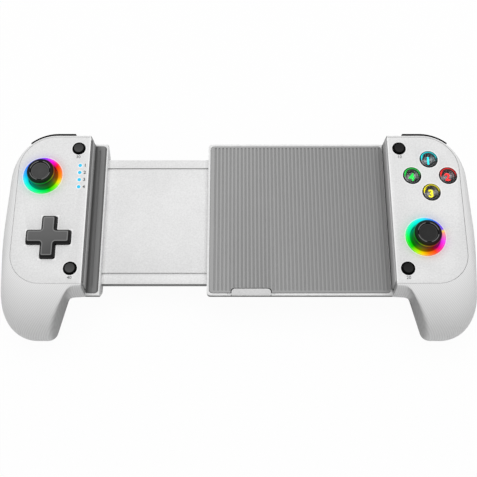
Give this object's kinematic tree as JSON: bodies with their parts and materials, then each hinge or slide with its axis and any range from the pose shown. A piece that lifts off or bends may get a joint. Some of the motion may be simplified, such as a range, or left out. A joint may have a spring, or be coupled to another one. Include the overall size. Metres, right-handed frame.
{
  "type": "game controller",
  "caption": "Telescopic phone game controller with two grips, sticks, buttons, triggers and a ribbed mat on a sliding base.",
  "frame": {"origin": "centre of the bounding box at the surface that the controller lies on, as pictured", "axes": "+X from the left grip to the right grip, +Y away from the player, +Z out of the face"},
  "size_m": [0.2634, 0.1188, 0.0428],
  "materials": {
    "face_white": "smooth satin white face plates",
    "grip_white": "white grips with a fine moulded texture",
    "base_white": "satin white base",
    "slider_white": "smooth white slide plate",
    "mat_grey": "ribbed grey rubber mat",
    "pad_dark": "dark grey rubber pad",
    "wall_pad_grey": "grey rubber clamp pads",
    "lip_grey": "light grey lip",
    "control_black": "dark grey controls",
    "shoulder_black": "black shoulder buttons and triggers",
    "ring_diffuser": "translucent ring over coloured lamps",
    "button_clear": "dark clear buttons with coloured figures inside",
    "lamp_cyan": "cyan indicator lamps",
    "steel": "bright steel",
    "switch_black": "black switch bodies",
    "board_green": "green circuit boards",
    "battery_foil": "foil pouch"
  },
  "bodies": {
    "right_half": {"right_faceplate": "face_white", "right_grip_shell": "grip_white", "right_stick_frame": "steel", "right_light_ring": "ring_diffuser", "right_wall_pad": "wall_pad_grey", "right_screws": "steel", "right_circuit_board": "board_green", "right_tact_switches": "switch_black", "right_trigger_axle": "steel", "base_housing": "base_white", "base_cover": "base_white", "base_mat": "mat_grey"},
    "left_half": {"left_faceplate": "face_white", "left_grip_shell": "grip_white", "left_stick_frame": "steel", "left_light_ring": "ring_diffuser", "left_wall_pad": "wall_pad_grey", "left_screws": "steel", "left_circuit_board": "board_green", "left_tact_switches": "switch_black", "left_trigger_axle": "steel", "direction_pad_yoke": "switch_black", "indicator_lamps": "lamp_cyan", "slider_plate": "slider_white", "clamp_ledge": "base_white", "clamp_pad": "pad_dark", "battery": "battery_foil", "usb_port": "steel", "usb_board": "board_green"},
    "right_stick_gimbal_body": {"right_stick_gimbal": "switch_black"},
    "right_stick_hub_body": {"right_stick_hub": "switch_black"},
    "right_stick_body": {"right_stick_cap": "control_black"},
    "right_bumper_body": {"right_bumper": "shoulder_black"},
    "right_trigger_body": {"right_trigger": "shoulder_black"},
    "left_stick_gimbal_body": {"left_stick_gimbal": "switch_black"},
    "left_stick_hub_body": {"left_stick_hub": "switch_black"},
    "left_stick_body": {"left_stick_cap": "control_black"},
    "left_bumper_body": {"left_bumper": "shoulder_black"},
    "left_trigger_body": {"left_trigger": "shoulder_black"},
    "face_button_top_body": {"face_button_top": "button_clear"},
    "face_button_right_body": {"face_button_right": "button_clear"},
    "face_button_bottom_body": {"face_button_bottom": "button_clear"},
    "face_button_left_body": {"face_button_left": "button_clear"},
    "start_button_body": {"start_button": "control_black"},
    "home_button_body": {"home_button": "control_black"},
    "select_button_body": {"select_button": "control_black"},
    "turbo_button_body": {"turbo_button": "control_black"},
    "direction_pad_pivot_body": {"direction_pad_pivot": "steel"},
    "direction_pad_body": {"direction_pad": "control_black"},
    "phone_lip_body": {"phone_lip": "lip_grey"}
  },
  "joints": [
    {"name": "half_slide", "type": "slide", "parent": "right_half", "child": "left_half", "axis": [1, 0, 0], "range_m": [-0.02, 0.058]},
    {"name": "right_stick_tilt_x", "type": "hinge", "parent": "right_half", "child": "right_stick_gimbal_body", "pos_m": [0.101, -0.00779, 0.0279], "axis": [1, 0, 0], "range_deg": [-18, 18], "stiffness_Nm_per_rad": 0.03},
    {"name": "right_stick_tilt_y", "type": "hinge", "parent": "right_stick_gimbal_body", "child": "right_stick_hub_body", "pos_m": [0.101, -0.00779, 0.0279], "axis": [0, 1, 0], "range_deg": [-18, 18], "stiffness_Nm_per_rad": 0.03},
    {"name": "right_stick_click", "type": "slide", "parent": "right_stick_hub_body", "child": "right_stick_body", "axis": [0, 0, -1], "range_m": [0, 0.0005], "stiffness_N_per_m": 2000, "springref_m": -0.001},
    {"name": "right_bumper_press", "type": "slide", "parent": "right_half", "child": "right_bumper_body", "axis": [0, -1, 0], "range_m": [0, 0.0008], "stiffness_N_per_m": 800, "springref_m": -0.001},
    {"name": "right_trigger_pull", "type": "hinge", "parent": "right_half", "child": "right_trigger_body", "pos_m": [0.105, 0.04571, 0.0185], "axis": [-1, 0, 0], "range_deg": [0, 15], "stiffness_Nm_per_rad": 0.05, "springref_deg": -14.32},
    {"name": "left_stick_tilt_x", "type": "hinge", "parent": "left_half", "child": "left_stick_gimbal_body", "pos_m": [-0.1092, 0.02841, 0.0279], "axis": [1, 0, 0], "range_deg": [-18, 18], "stiffness_Nm_per_rad": 0.03},
    {"name": "left_stick_tilt_y", "type": "hinge", "parent": "left_stick_gimbal_body", "child": "left_stick_hub_body", "pos_m": [-0.1092, 0.02841, 0.0279], "axis": [0, 1, 0], "range_deg": [-18, 18], "stiffness_Nm_per_rad": 0.03},
    {"name": "left_stick_click", "type": "slide", "parent": "left_stick_hub_body", "child": "left_stick_body", "axis": [0, 0, -1], "range_m": [0, 0.0005], "stiffness_N_per_m": 2000, "springref_m": -0.001},
    {"name": "left_bumper_press", "type": "slide", "parent": "left_half", "child": "left_bumper_body", "axis": [0, -1, 0], "range_m": [0, 0.0008], "stiffness_N_per_m": 800, "springref_m": -0.001},
    {"name": "left_trigger_pull", "type": "hinge", "parent": "left_half", "child": "left_trigger_body", "pos_m": [-0.105, 0.04571, 0.0185], "axis": [-1, 0, 0], "range_deg": [0, 15], "stiffness_Nm_per_rad": 0.05, "springref_deg": -14.32},
    {"name": "face_button_top_press", "type": "slide", "parent": "right_half", "child": "face_button_top_body", "axis": [0, 0, -1], "range_m": [0, 0.0012], "stiffness_N_per_m": 600, "springref_m": -0.001},
    {"name": "face_button_right_press", "type": "slide", "parent": "right_half", "child": "face_button_right_body", "axis": [0, 0, -1], "range_m": [0, 0.0012], "stiffness_N_per_m": 600, "springref_m": -0.001},
    {"name": "face_button_bottom_press", "type": "slide", "parent": "right_half", "child": "face_button_bottom_body", "axis": [0, 0, -1], "range_m": [0, 0.0012], "stiffness_N_per_m": 600, "springref_m": -0.001},
    {"name": "face_button_left_press", "type": "slide", "parent": "right_half", "child": "face_button_left_body", "axis": [0, 0, -1], "range_m": [0, 0.0012], "stiffness_N_per_m": 600, "springref_m": -0.001},
    {"name": "start_button_press", "type": "slide", "parent": "right_half", "child": "start_button_body", "axis": [0, 0, -1], "range_m": [0, 0.0008], "stiffness_N_per_m": 800, "springref_m": -0.001},
    {"name": "home_button_press", "type": "slide", "parent": "right_half", "child": "home_button_body", "axis": [0, 0, -1], "range_m": [0, 0.0008], "stiffness_N_per_m": 800, "springref_m": -0.001},
    {"name": "select_button_press", "type": "slide", "parent": "left_half", "child": "select_button_body", "axis": [0, 0, -1], "range_m": [0, 0.0008], "stiffness_N_per_m": 800, "springref_m": -0.001},
    {"name": "turbo_button_press", "type": "slide", "parent": "left_half", "child": "turbo_button_body", "axis": [0, 0, -1], "range_m": [0, 0.0008], "stiffness_N_per_m": 800, "springref_m": -0.001},
    {"name": "direction_pad_rock_x", "type": "hinge", "parent": "left_half", "child": "direction_pad_pivot_body", "pos_m": [-0.103, -0.00819, 0.0326], "axis": [1, 0, 0], "range_deg": [-4, 4], "stiffness_Nm_per_rad": 0.15},
    {"name": "direction_pad_rock_y", "type": "hinge", "parent": "direction_pad_pivot_body", "child": "direction_pad_body", "pos_m": [-0.103, -0.00819, 0.0326], "axis": [0, 1, 0], "range_deg": [-4, 4], "stiffness_Nm_per_rad": 0.15},
    {"name": "phone_lip_lift", "type": "hinge", "parent": "right_half", "child": "phone_lip_body", "pos_m": [0.00665, -0.03604, 0.02165], "axis": [1, 0, 0], "range_deg": [0, 90]}
  ]
}
